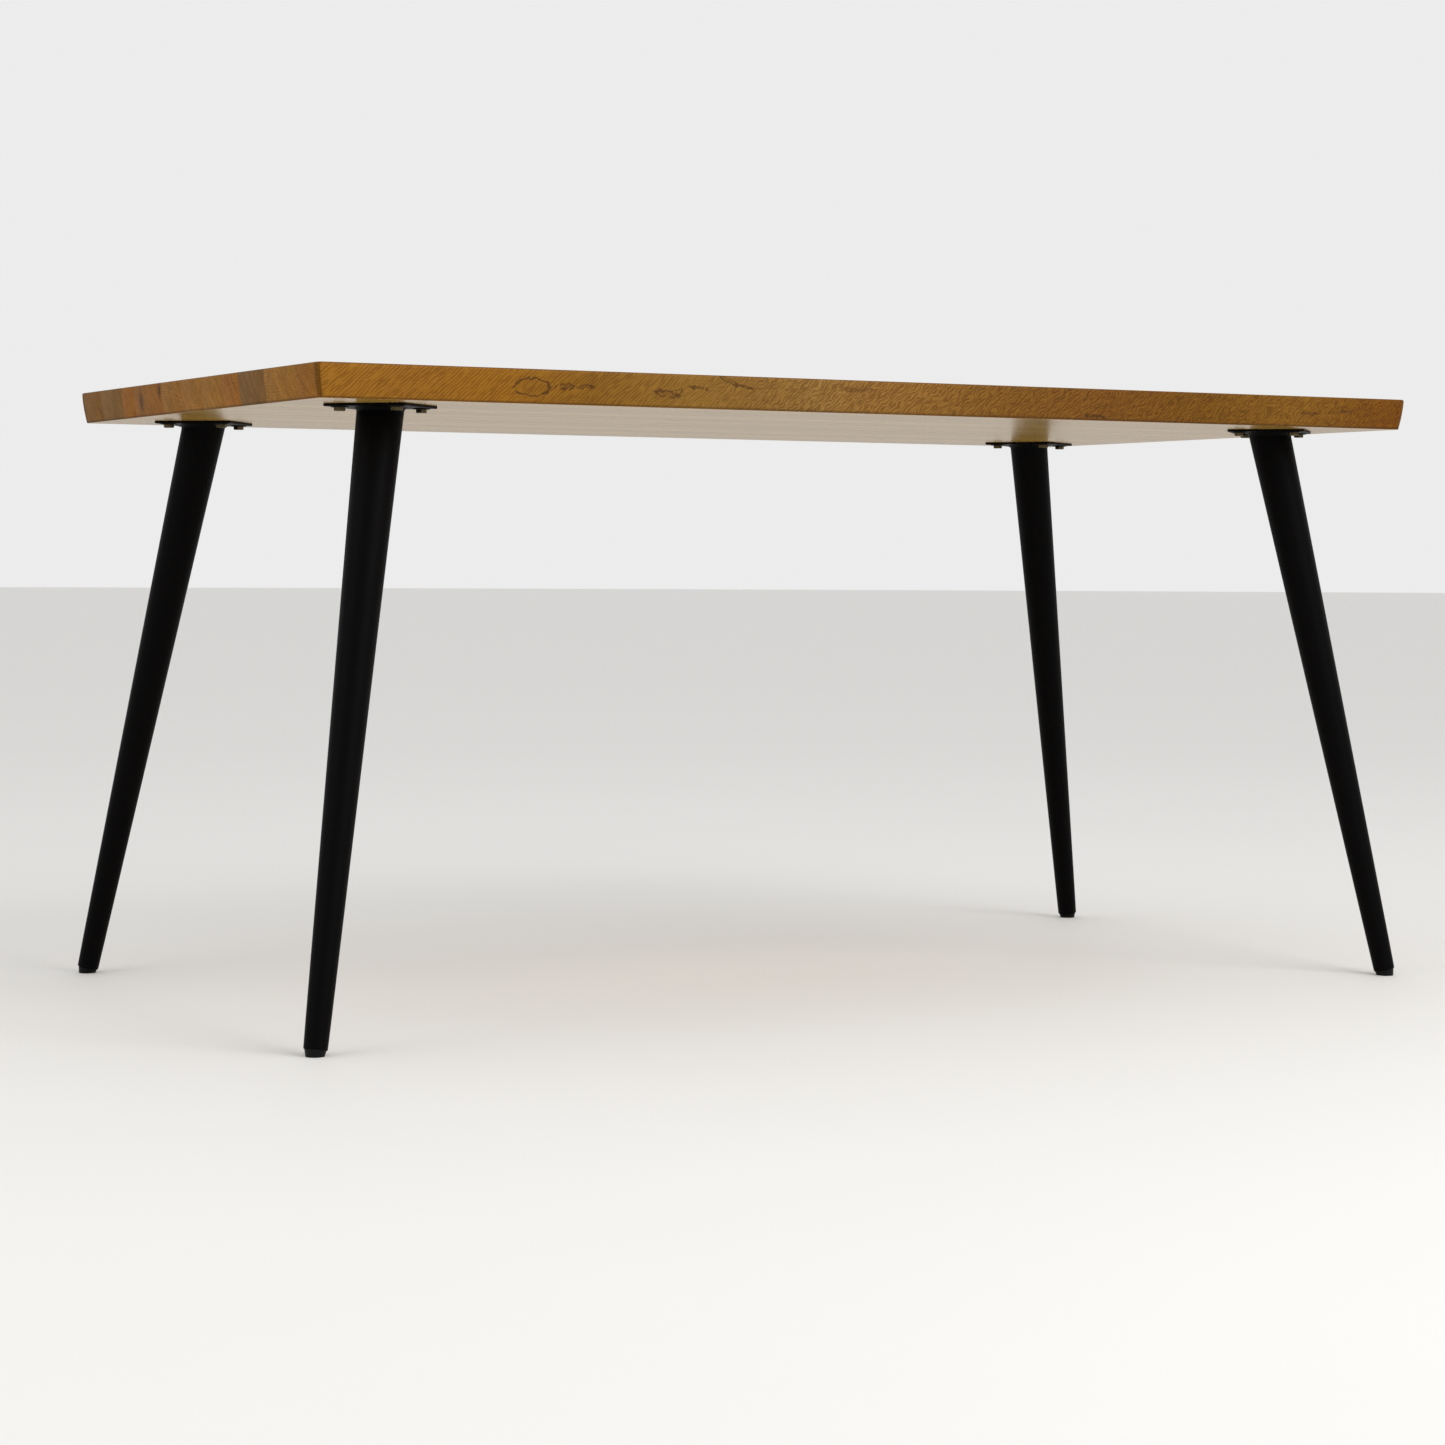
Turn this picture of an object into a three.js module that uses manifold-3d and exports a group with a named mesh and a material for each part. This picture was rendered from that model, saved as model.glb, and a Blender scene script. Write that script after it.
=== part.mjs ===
// Butcher block table: an edge-glued hardwood top on four splayed, tapered steel legs.
//
// Units are millimetres, +Z is up. The origin is on the floor at the centre of the table's
// footprint, +X runs along the length of the top and +Y runs to the back. Each leg is a tapered
// tube welded under a square plate. The plate is held to the underside of the top by four hex lag
// screws with washers, and a glide plugs the foot of the tube.

import * as THREE from 'three';
import { mergeVertices } from 'three/addons/utils/BufferGeometryUtils.js';
import Module from 'manifold-3d';

const wasm = await Module();
wasm.setup();

// ---------------------------------------------------------------- driving dimensions

const TOP_LENGTH = 1524;
const TOP_WIDTH = 813;
const TOP_THICKNESS = 39;
const TABLE_HEIGHT = 757;

// The top's edge leans in below and is eased above.
const EDGE_UNDERCUT = 4.5;
const EDGE_EASE = 2;
const CORNER_RADIUS = 6;

// Staves from front to back, and where the ones made of two lengths are butted, along X.
const STAVE_WIDTHS = [68, 94, 80, 54, 70, 69, 70, 102, 46, 80, 80];
const BUTT_JOINTS = { 1: -265, 3: 310, 6: -140, 8: 255, 10: -345 };
const GLUE_LINE = 0.2;

// Where each leg's axis meets its plate, from the middle of the top, how far out the foot stands
// from there, and the angle from the way the leg leans to the plate's side, in degrees. The four
// don't lean exactly alike.
const CORNERS = [
  { name: 'front_left', x: -636, y: -284, splayX: -132, splayY: -124, plateTurn: 0 },
  { name: 'front_right', x: 637, y: -282, splayX: 115, splayY: -113, plateTurn: 0 },
  { name: 'back_right', x: 639, y: 282, splayX: 148, splayY: 100, plateTurn: 0 },
  { name: 'back_left', x: -639, y: 284, splayX: -118, splayY: 129, plateTurn: 9 },
];

const LEG_TOP_RADIUS = 27;
const LEG_FOOT_RADIUS = 13.5;
const LEG_WALL = 2;
const WELD_HEIGHT = 5;
const WELD_THROW = 3;

const PLATE_SIZE = 100;
const PLATE_THICKNESS = 3;
const PLATE_CORNER_RADIUS = 5;
const PLATE_HOLE_SPACING = 70;
const PLATE_HOLE_RADIUS = 4.5;

const GLIDE_HEIGHT = 7.5;
const GLIDE_TOP_RADIUS = 12.3;
const GLIDE_BASE_RADIUS = 10.6;
const GLIDE_PLUG_LENGTH = 18;
const GLIDE_PLUG_BEVEL = 2;
const FIT_GAP = 0.3;

const SCREW_RADIUS = 4;
const SCREW_DEPTH = 25;
const SCREW_TIP = 5;
const HEAD_ACROSS_FLATS = 12;
const HEAD_HEIGHT = 4;
const HEAD_CHAMFER = 0.8;
const PILOT_RADIUS = 4.3;
const PILOT_CLEARANCE = 1.5;
const WASHER_RADIUS = 10;
const WASHER_HOLE_RADIUS = 4.4;
const WASHER_THICKNESS = 1.2;

// How far each screw stops turned from the one before it, and from leg to leg.
const SCREW_TURN = 0.55;
const LEG_TURN = 0.37;

// ---------------------------------------------------------------- derived places

const UNDERSIDE = TABLE_HEIGHT - TOP_THICKNESS;
const PLATE_FACE = UNDERSIDE - PLATE_THICKNESS;
const HOLE_OFFSET = PLATE_HOLE_SPACING / 2;

// ---------------------------------------------------------------- materials

function paint(color, roughness, metalness) {
  return new THREE.MeshStandardMaterial({ color, roughness, metalness });
}

const STAVE_COLORS = [
  0xb08a55, 0xbf9560, 0xa08463, 0xb9793c, 0xc29257, 0xb98a50,
  0xbb8b52, 0xb27f45, 0xc17f3d, 0xa68a66, 0xb0946b,
];
const blackPowderCoat = () => paint(0x0d0d0e, 0.42, 0.1);
const blackNylon = () => paint(0x111112, 0.5, 0);
const zincSteel = () => paint(0x8f7b5c, 0.35, 0.9);
const darkSteel = () => paint(0x2b2926, 0.4, 0.8);

// ---------------------------------------------------------------- solid helpers

/** A closed geometry as a manifold, its shared vertices merged. */
function toSolid(geometry) {
  const bare = geometry.clone();
  bare.deleteAttribute('normal');
  bare.deleteAttribute('uv');
  const merged = mergeVertices(bare, 1e-4);
  return new wasm.Manifold(new wasm.Mesh({
    numProp: 3,
    vertProperties: new Float32Array(merged.attributes.position.array),
    triVerts: new Uint32Array(merged.index.array),
  }));
}

/** A manifold as a three.js geometry. */
function toGeometry(solid) {
  const mesh = solid.getMesh();
  const geometry = new THREE.BufferGeometry();
  geometry.setAttribute('position', new THREE.BufferAttribute(mesh.vertProperties, 3));
  geometry.setIndex(new THREE.BufferAttribute(mesh.triVerts, 1));
  geometry.computeVertexNormals();
  return geometry;
}

/** A lathe about Z through the closed or axis-to-axis profile [[radius, z], ...]. */
function latheAboutZ(profile, segments) {
  const points = profile.map(([radius, z]) => new THREE.Vector2(radius, z));
  return new THREE.LatheGeometry(points, segments).rotateX(Math.PI / 2);
}

/** A rectangle with round corners, centred on the origin. */
function roundedRectangle(length, width, radius) {
  const x = length / 2 - radius;
  const y = width / 2 - radius;
  const shape = new THREE.Shape();
  shape.absarc(x, y, radius, 0, Math.PI / 2);
  shape.absarc(-x, y, radius, Math.PI / 2, Math.PI);
  shape.absarc(-x, -y, radius, Math.PI, Math.PI * 1.5);
  shape.absarc(x, -y, radius, Math.PI * 1.5, Math.PI * 2);
  shape.closePath();
  return shape;
}

/** A box between two corners. */
function boxBetween(low, high) {
  const box = new THREE.BoxGeometry(high[0] - low[0], high[1] - low[1], high[2] - low[2]);
  return box.translate((low[0] + high[0]) / 2, (low[1] + high[1]) / 2, (low[2] + high[2]) / 2);
}

// ---------------------------------------------------------------- the top

/** The edge's section as [height above the underside, inset from the full outline]. */
function edgeProfile() {
  const straight = TOP_THICKNESS - EDGE_EASE;
  const rise = [0, 0.15, 0.35, 0.6, 0.8, 1];
  const lower = rise.map((t) => [t * straight, EDGE_UNDERCUT * (1 - t) ** 1.5]);
  const eased = [1, 2, 3].map((step) => {
    const angle = (step / 3) * (Math.PI / 2);
    return [straight + EDGE_EASE * Math.sin(angle), EDGE_EASE * (1 - Math.cos(angle))];
  });
  return [...lower, ...eased];
}

/** The whole top before it is cut into staves: an outline extruded in levels, each drawn in. */
function topSlab() {
  const profile = edgeProfile();
  const steps = profile.length - 1;
  const outline = roundedRectangle(TOP_LENGTH, TOP_WIDTH, CORNER_RADIUS);
  const options = { depth: steps, steps, bevelEnabled: false, curveSegments: 5 };
  const slab = new THREE.ExtrudeGeometry(outline, options);
  const position = slab.attributes.position;
  for (let i = 0; i < position.count; i += 1) {
    const [height, inset] = profile[Math.round(position.getZ(i))];
    const x = position.getX(i);
    const y = position.getY(i);
    position.setXYZ(i, x - Math.sign(x) * inset, y - Math.sign(y) * inset, UNDERSIDE + height);
  }
  return toSolid(slab);
}

/** What each stave is cut with: its name, its ends along X, its sides along Y and its colour. */
function staveBoxes() {
  const beyond = TOP_LENGTH;
  const boxes = [];
  let front = -TOP_WIDTH / 2;
  STAVE_WIDTHS.forEach((width, index) => {
    const number = index + 1;
    const first = index === 0;
    const last = index === STAVE_WIDTHS.length - 1;
    const y0 = first ? -beyond : front + GLUE_LINE / 2;
    const y1 = last ? beyond : front + width - GLUE_LINE / 2;
    const name = `stave_${String(number).padStart(2, '0')}`;
    const color = STAVE_COLORS[index];
    const joint = BUTT_JOINTS[number];
    if (joint === undefined) {
      boxes.push({ name, x0: -beyond, x1: beyond, y0, y1, color });
    } else {
      boxes.push({ name: `${name}_left`, x0: -beyond, x1: joint - GLUE_LINE / 2, y0, y1, color });
      boxes.push({ name: `${name}_right`, x0: joint + GLUE_LINE / 2, x1: beyond, y0, y1, color });
    }
    front += width;
  });
  return boxes;
}

/** The blind holes that the lag screws are driven into, as one solid for all four plates. */
function pilotHoles() {
  const depth = SCREW_DEPTH + PILOT_CLEARANCE;
  const holes = [];
  for (const corner of CORNERS) {
    const place = plateFrame(corner);
    place.updateMatrixWorld(true);
    for (const [x, y] of holePlaces()) {
      const hole = new THREE.CylinderGeometry(PILOT_RADIUS, PILOT_RADIUS, depth * 2, 16);
      hole.rotateX(Math.PI / 2).translate(x, y, PLATE_THICKNESS);
      hole.applyMatrix4(place.matrixWorld);
      holes.push(toSolid(hole));
    }
  }
  return holes.reduce((sum, hole) => sum.add(hole));
}

/** One mesh for each stave, or for each of the two lengths of a butted stave. */
function buildTop() {
  const top = new THREE.Group();
  const drilled = topSlab().subtract(pilotHoles());
  for (const { name, x0, x1, y0, y1, color } of staveBoxes()) {
    const cutter = toSolid(boxBetween([x0, y0, 0], [x1, y1, TABLE_HEIGHT * 2]));
    const stave = new THREE.Mesh(toGeometry(drilled.intersect(cutter)), paint(color, 0.45, 0));
    stave.name = name;
    top.add(stave);
  }
  return top;
}

// ---------------------------------------------------------------- the legs
//
// Each leg is made in its own frame: the origin is the centre of the plate's lower face, +X
// points the way the leg leans and +Z is up. Its plate has the same origin and is turned about it.

/** The group that stands for one leg's frame in the table. */
function legFrame({ x, y, splayX, splayY }) {
  const frame = new THREE.Group();
  frame.position.set(x, y, PLATE_FACE);
  frame.rotation.z = Math.atan2(splayY, splayX);
  return frame;
}

/** The group that stands for one plate's frame in the table. */
function plateFrame(corner) {
  const frame = legFrame(corner);
  frame.rotation.z += THREE.MathUtils.degToRad(corner.plateTurn);
  return frame;
}

/** How far a leg's foot stands out, the angle of its axis from the upright, and its length. */
function legLean({ splayX, splayY }) {
  const splay = Math.hypot(splayX, splayY);
  return { splay, lean: Math.atan2(splay, PLATE_FACE), length: Math.hypot(splay, PLATE_FACE) };
}

/** The centres of a plate's four screw holes. */
function holePlaces() {
  const places = [];
  for (const x of [-1, 1]) {
    for (const y of [-1, 1]) {
      places.push([x * HOLE_OFFSET, y * HOLE_OFFSET]);
    }
  }
  return places;
}

/** Outer radius of the tube at a depth below the plate, with the weld's cove at the top. */
function tubeRadius(depth) {
  const taper = (LEG_TOP_RADIUS - LEG_FOOT_RADIUS) / PLATE_FACE;
  const cove = Math.max(0, 1 - depth / WELD_HEIGHT);
  return LEG_TOP_RADIUS - taper * depth + WELD_THROW * cove * cove;
}

/**
 * The tapered tube and its weld. A straight lathe is stretched along X and sheared, so that
 * every level section is the ellipse of a leaning round tube, and the foot is then cut square
 * to the leg's axis.
 */
function legGeometry({ lean, length }) {
  const weldDepths = [0, 0.24, 0.56, 1].map((share) => share * WELD_HEIGHT);
  const outer = [...weldDepths, PLATE_FACE].map((depth) => [tubeRadius(depth), -depth]);
  const bore = LEG_TOP_RADIUS - LEG_WALL;
  const boreAtFoot = LEG_FOOT_RADIUS - LEG_WALL;
  const profile = [...outer, [boreAtFoot, -PLATE_FACE], [bore, 0], outer[0]];
  const tube = latheAboutZ(profile.reverse(), 48);
  const shear = new THREE.Matrix4();
  shear.set(1 / Math.cos(lean), 0, -Math.tan(lean), 0, 0, 1, 0, 0, 0, 0, 1, 0, 0, 0, 0, 1);
  tube.applyMatrix4(shear);

  const reach = length - GLIDE_HEIGHT;
  const keep = boxBetween([-PLATE_SIZE, -PLATE_SIZE, -reach], [PLATE_SIZE, PLATE_SIZE, PLATE_SIZE]);
  keep.rotateY(-lean);
  return toGeometry(toSolid(tube).intersect(toSolid(keep)));
}

/** The square plate with round corners and four holes. */
function plateGeometry() {
  const outline = roundedRectangle(PLATE_SIZE, PLATE_SIZE, PLATE_CORNER_RADIUS);
  for (const [x, y] of holePlaces()) {
    const hole = new THREE.Path();
    hole.absarc(x, y, PLATE_HOLE_RADIUS, 0, Math.PI * 2, true);
    outline.holes.push(hole);
  }
  const options = { depth: PLATE_THICKNESS, bevelEnabled: false, curveSegments: 6 };
  return new THREE.ExtrudeGeometry(outline, options);
}

/** The glide: a plug inside the tube and a tapered foot, cut off level on the floor. */
function glideGeometry({ splay, lean, length }) {
  const plug = LEG_FOOT_RADIUS - LEG_WALL - FIT_GAP;
  const below = GLIDE_HEIGHT * 1.7;
  const slope = (GLIDE_TOP_RADIUS - GLIDE_BASE_RADIUS) / GLIDE_HEIGHT;
  const shoulder = GLIDE_HEIGHT - FIT_GAP;
  const profile = [
    [0, GLIDE_HEIGHT + GLIDE_PLUG_LENGTH],
    [plug - GLIDE_PLUG_BEVEL / 2, GLIDE_HEIGHT + GLIDE_PLUG_LENGTH],
    [plug, GLIDE_HEIGHT + GLIDE_PLUG_LENGTH - GLIDE_PLUG_BEVEL],
    [plug, shoulder],
    [GLIDE_TOP_RADIUS, shoulder],
    [GLIDE_TOP_RADIUS - slope * below, GLIDE_HEIGHT - below],
    [0, GLIDE_HEIGHT - below],
  ];
  const glide = latheAboutZ(profile.reverse(), 32);
  glide.translate(0, 0, -length).rotateY(-lean);
  const reach = splay * 2;
  const aboveFloor = boxBetween([-reach, -reach, -PLATE_FACE], [reach, reach, 0]);
  return toGeometry(toSolid(glide).intersect(toSolid(aboveFloor)));
}

/** A flat washer under the plate. */
function washerGeometry() {
  const low = -WASHER_THICKNESS;
  const profile = [
    [WASHER_HOLE_RADIUS, 0],
    [WASHER_HOLE_RADIUS, low],
    [WASHER_RADIUS, low],
    [WASHER_RADIUS, 0],
    [WASHER_HOLE_RADIUS, 0],
  ];
  return latheAboutZ(profile, 16);
}

/** A hex lag screw: chamfered head below the washer, plain shank and a pointed tip above. */
function screwGeometry() {
  const seat = -WASHER_THICKNESS;
  const corner = HEAD_ACROSS_FLATS / Math.sqrt(3);
  const flat = HEAD_ACROSS_FLATS / 2;
  const tip = PLATE_THICKNESS + SCREW_DEPTH;
  const hexagon = new THREE.CylinderGeometry(corner, corner, HEAD_HEIGHT, 6);
  hexagon.rotateX(Math.PI / 2).translate(0, 0, seat - HEAD_HEIGHT / 2);
  const facing = latheAboutZ([
    [0, seat - HEAD_HEIGHT],
    [flat, seat - HEAD_HEIGHT],
    [flat + HEAD_CHAMFER * 2, seat - HEAD_HEIGHT + HEAD_CHAMFER],
    [flat + HEAD_CHAMFER * 2, 1],
    [0, 1],
  ], 24);
  const shank = latheAboutZ([
    [0, seat - 1],
    [SCREW_RADIUS, seat - 1],
    [SCREW_RADIUS, tip - SCREW_TIP],
    [0.5, tip],
    [0, tip],
  ], 16);
  return toGeometry(toSolid(hexagon).intersect(toSolid(facing)).add(toSolid(shank)));
}

const sharedPieces = {
  plate: plateGeometry(),
  washer: washerGeometry(),
  screw: screwGeometry(),
};

function addPiece(parent, geometry, material, name) {
  const mesh = new THREE.Mesh(geometry, material);
  mesh.name = name;
  parent.add(mesh);
  return mesh;
}

/** One leg tube with its glide. */
function buildLeg(corner) {
  const frame = legFrame(corner);
  const leg = legLean(corner);
  addPiece(frame, legGeometry(leg), blackPowderCoat(), `leg_${corner.name}`);
  addPiece(frame, glideGeometry(leg), blackNylon(), `foot_glide_${corner.name}`);
  return frame;
}

/** One mounting plate with its four screws and washers. */
function buildPlate(corner, order) {
  const { name } = corner;
  const frame = plateFrame(corner);
  addPiece(frame, sharedPieces.plate, blackPowderCoat(), `mounting_plate_${name}`);
  holePlaces().forEach(([x, y], index) => {
    const number = index + 1;
    const washer = addPiece(frame, sharedPieces.washer, darkSteel(), `washer_${name}_${number}`);
    washer.position.set(x, y, 0);
    const screw = addPiece(frame, sharedPieces.screw, zincSteel(), `lag_screw_${name}_${number}`);
    screw.position.set(x, y, 0);
    screw.rotation.z = index * SCREW_TURN + order * LEG_TURN;
  });
  return frame;
}

/** Moves everything so that the whole table stands centred over the origin. */
function centreOverOrigin(table) {
  const middle = new THREE.Box3().setFromObject(table, true).getCenter(new THREE.Vector3());
  for (const piece of table.children) {
    piece.position.x -= middle.x;
    piece.position.y -= middle.y;
  }
}

const group = new THREE.Group();
group.add(buildTop());
CORNERS.forEach((corner, order) => group.add(buildLeg(corner), buildPlate(corner, order)));
centreOverOrigin(group);

export default group;
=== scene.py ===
import math

import bpy
import numpy as np
from bpy.props import FloatProperty, FloatVectorProperty, IntProperty, PointerProperty
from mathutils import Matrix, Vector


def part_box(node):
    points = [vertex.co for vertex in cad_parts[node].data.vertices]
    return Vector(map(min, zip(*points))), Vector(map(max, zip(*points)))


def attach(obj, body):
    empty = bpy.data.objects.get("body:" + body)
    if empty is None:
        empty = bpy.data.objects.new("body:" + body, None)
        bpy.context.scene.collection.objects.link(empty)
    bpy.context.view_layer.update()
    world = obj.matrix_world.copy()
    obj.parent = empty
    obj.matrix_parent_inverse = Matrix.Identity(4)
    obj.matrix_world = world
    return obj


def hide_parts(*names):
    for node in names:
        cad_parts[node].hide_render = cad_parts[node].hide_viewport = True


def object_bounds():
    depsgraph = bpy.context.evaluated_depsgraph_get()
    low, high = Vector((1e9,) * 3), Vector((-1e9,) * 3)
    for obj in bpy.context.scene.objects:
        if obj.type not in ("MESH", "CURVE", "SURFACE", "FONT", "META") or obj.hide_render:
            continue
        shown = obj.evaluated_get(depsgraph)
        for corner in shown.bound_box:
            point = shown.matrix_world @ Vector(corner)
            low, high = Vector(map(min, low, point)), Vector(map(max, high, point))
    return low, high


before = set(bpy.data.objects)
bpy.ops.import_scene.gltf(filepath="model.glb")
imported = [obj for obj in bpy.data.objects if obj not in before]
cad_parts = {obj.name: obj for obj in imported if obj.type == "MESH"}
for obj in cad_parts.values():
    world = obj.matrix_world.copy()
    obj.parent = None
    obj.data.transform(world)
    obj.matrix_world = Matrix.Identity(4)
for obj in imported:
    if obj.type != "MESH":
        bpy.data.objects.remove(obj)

bl_info = {
    "name": "Butcher Block Table",
    "version": (1, 0, 0),
    "blender": (4, 5, 0),
    "location": "View3D > Sidebar > Block Table",
    "description": "Dresses the table's frame: glued staves, welded tapered legs and their hardware",
    "category": "Add Mesh",
}

CAD_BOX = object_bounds()
NODES = sorted(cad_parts)
CORNERS = ("front_left", "front_right", "back_right", "back_left")

# Edges that turn by more than this many degrees stay sharp.
SHARP_ANGLE = 40

# The corners of a plan, anticlockwise from the back right: the signs of X and Y, and the angle in
# degrees at which the corner's quarter arc starts.
PLAN_CORNERS = ((1, 1, 0), (-1, 1, 90), (-1, -1, 180), (1, -1, 270))


def nodes_named(prefix):
    """The CAD nodes whose names start with a prefix."""
    return [name for name in NODES if name.startswith(prefix)]


def node_box(name):
    """The lowest and highest corners of one CAD node."""
    low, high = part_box(name)
    return np.array(low), np.array(high)


def box_middle(name):
    """The middle of one CAD node's box."""
    low, high = node_box(name)
    return (low + high) / 2


def joint_box(names):
    """The lowest and highest corners of several CAD nodes together."""
    lows, highs = zip(*(node_box(name) for name in names))
    return np.min(lows, axis=0), np.max(highs, axis=0)


TOP_LOW, TOP_HIGH = joint_box(nodes_named("stave_"))
TOP_MIDDLE = (TOP_LOW + TOP_HIGH) / 2
TOP_HALF = (TOP_HIGH - TOP_LOW) / 2


# ---------------------------------------------------------------- settings

def length(name, description, default):
    """A length in metres, as a property."""
    return FloatProperty(name=name, description=description, default=default,
                         precision=4, unit="LENGTH", subtype="DISTANCE")


def colour(name, description, default):
    """A linear colour, as a property."""
    return FloatVectorProperty(name=name, description=description, default=default,
                               size=3, min=0, max=1, subtype="COLOR")


def fraction(name, description, default):
    """A number from 0 to 1, as a property."""
    return FloatProperty(name=name, description=description, default=default,
                         min=0, max=1, subtype="FACTOR")


class TopSettings(bpy.types.PropertyGroup):
    """Sizes and finish of the glued-up top."""
    undercut: length("Undercut", "How far the sides lean in at the underside", 0.0045)
    ease: length("Eased edge", "Radius along the upper edge", 0.002)
    lower_ease: length("Lower ease", "Radius along the lower edge", 0.001)
    corner: length("Corner radius", "Radius of the upright corners", 0.006)
    joint_chamfer: length("Joint chamfer", "Fine groove where two staves meet", 0.00018)
    joint_gap: length("Glue line", "Gap left between two staves", 0.00006)
    pilot: length("Pilot hole", "Radius of the holes for the screws", 0.0043)
    pilot_depth: length("Pilot depth", "Depth of those holes", 0.0265)
    sheen: fraction("Roughness", "Roughness of the oiled wood", 0.42)
    below: fraction("Roughness below", "Roughness of the underside", 0.24)


class LegSettings(bpy.types.PropertyGroup):
    """Sizes and finish of the tapered tube legs and their plates."""
    head_radius: length("Head radius", "Radius of the tube under the plate", 0.027)
    foot_radius: length("Foot radius", "Radius of the tube at the glide", 0.0135)
    wall: length("Wall", "Thickness of the tube", 0.002)
    weld: length("Weld", "Height of the weld's cove", 0.005)
    weld_throw: length("Weld throw", "How far the weld spreads on the plate", 0.003)
    plate_corner: length("Plate corner", "Radius of the plate's corners", 0.005)
    plate_edge: length("Plate edge", "Rounding of the plate's edges", 0.0006)
    plate_hole: length("Plate hole", "Radius of the screw holes", 0.0045)
    coat: colour("Powder coat", "Colour of the tubes and plates", (0.0012, 0.0009, 0.0009))
    segments: IntProperty(name="Segments", description="Facets around a tube",
                          default=96, min=12)


class HardwareSettings(bpy.types.PropertyGroup):
    """Sizes and finish of the screws, washers and glides."""
    across_flats: length("Across flats", "Width of the hex heads", 0.012)
    head_height: length("Head height", "Height of the hex heads", 0.004)
    head_chamfer: length("Head chamfer", "Height of the chamfer on a head's corners", 0.0009)
    shank: length("Shank radius", "Radius of the screws over the thread", 0.004)
    thread: length("Thread depth", "Depth of the screw thread", 0.0009)
    pitch: length("Thread pitch", "Advance of the thread in one turn", 0.0028)
    plain_shank: length("Plain shank", "Length under the head that has no thread", 0.006)
    tip: length("Screw tip", "Length over which the screw draws in", 0.006)
    clearance: length("Clearance", "Gap between a shank and its washer", 0.0004)
    plug: length("Glide plug", "Radius of the plug inside the tube", 0.0112)
    plug_length: length("Plug length", "How far the plug reaches into the tube", 0.018)
    glide_head: length("Glide head", "Radius of the glide under the tube", 0.0123)
    glide_base: length("Glide base", "Radius of the glide on the floor", 0.0106)
    zinc: colour("Zinc", "Colour of the plated heads", (0.095, 0.074, 0.036))
    dark: colour("Dark steel", "Colour of the washers", (0.02, 0.018, 0.015))
    nylon: colour("Nylon", "Colour of the glides", (0.003, 0.003, 0.003))


class StageSettings(bpy.types.PropertyGroup):
    """Floor, light and camera."""
    floor: colour("Floor", "Colour of the plain floor", (0.78, 0.77, 0.75))
    sky: colour("Surround", "Colour of the light all round", (1.0, 1.0, 1.0))
    surround: FloatProperty(name="Surround strength", description="Strength of that light",
                            default=0.84, min=0)
    key_power: FloatProperty(name="Key light", description="Power of the soft key light",
                             default=100, min=0, unit="POWER")
    camera_place: FloatVectorProperty(name="Camera", description="Its place from the top's middle",
                                      default=(-2.1105, -3.7349, 0.5418), size=3,
                                      subtype="TRANSLATION", unit="LENGTH")
    camera_turn: FloatVectorProperty(name="Camera turn", description="Pitch, roll and yaw",
                                     default=(math.pi / 2 - 0.049, -0.004, -0.5075), size=3,
                                     subtype="EULER", unit="ROTATION")
    lens: FloatProperty(name="Lens", description="Focal length for a 36 mm sensor",
                        default=81.68, min=1, subtype="DISTANCE_CAMERA", unit="CAMERA")


# ---------------------------------------------------------------- mesh helpers

def ring_quads(rings, around, close_rings=False):
    """Quads between successive rings of points, wrapping round each ring."""
    last = rings if close_rings else rings - 1
    i, j = np.meshgrid(np.arange(last), np.arange(around), indexing="ij")
    below = i * around
    above = ((i + 1) % rings) * around
    right = (j + 1) % around
    return np.stack([below + j, below + right, above + right, above + j], -1).reshape(-1, 4)


def end_caps(rings, around):
    """The flat faces that close the first and the last ring."""
    first = list(range(around))[::-1]
    last = list(range((rings - 1) * around, rings * around))
    return [first, last]


def closed_skin(points):
    """The faces over a stack of rings, with both ends capped."""
    rings, around = points.shape[:2]
    return ring_quads(rings, around).tolist() + end_caps(rings, around)


def mesh_object(name, points, faces, material, sharp_angle=SHARP_ANGLE):
    """A finished object from its points and a list of faces, smooth but for sharp edges."""
    mesh = bpy.data.meshes.new(name)
    mesh.from_pydata(points.reshape(-1, 3).tolist(), [], faces)
    mesh.update()
    mesh.polygons.foreach_set("use_smooth", np.ones(len(mesh.polygons), bool))
    mesh.set_sharp_from_angle(angle=math.radians(sharp_angle))
    mesh.materials.append(material)
    piece = bpy.data.objects.new(name, mesh)
    bpy.context.scene.collection.objects.link(piece)
    return piece


def lathe(profile, around):
    """A profile of (radius, height) turned about Z: each point is a ring at equal angles."""
    profile = np.asarray(profile, float)
    angle = np.linspace(0, 2 * np.pi, around, endpoint=False)
    points = np.empty((len(profile), around, 3))
    points[..., 0] = profile[:, :1] * np.cos(angle)
    points[..., 1] = profile[:, :1] * np.sin(angle)
    points[..., 2] = profile[:, 1:]
    return points


def quarter_turn(steps):
    """Angles from nothing to a quarter turn, both ends included."""
    return np.radians(np.linspace(0, 90, steps))


def arc(centre, radius, start, stop, steps):
    """Points on a circular arc between two angles in degrees, both ends included."""
    angle = np.radians(np.linspace(start, stop, steps))
    return np.stack([centre[0] + radius * np.cos(angle), centre[1] + radius * np.sin(angle)], -1)


def turned(points, angle):
    """Points turned about Z."""
    c, s = math.cos(angle), math.sin(angle)
    return points @ np.array([[c, s, 0], [-s, c, 0], [0, 0, 1]])


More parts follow.
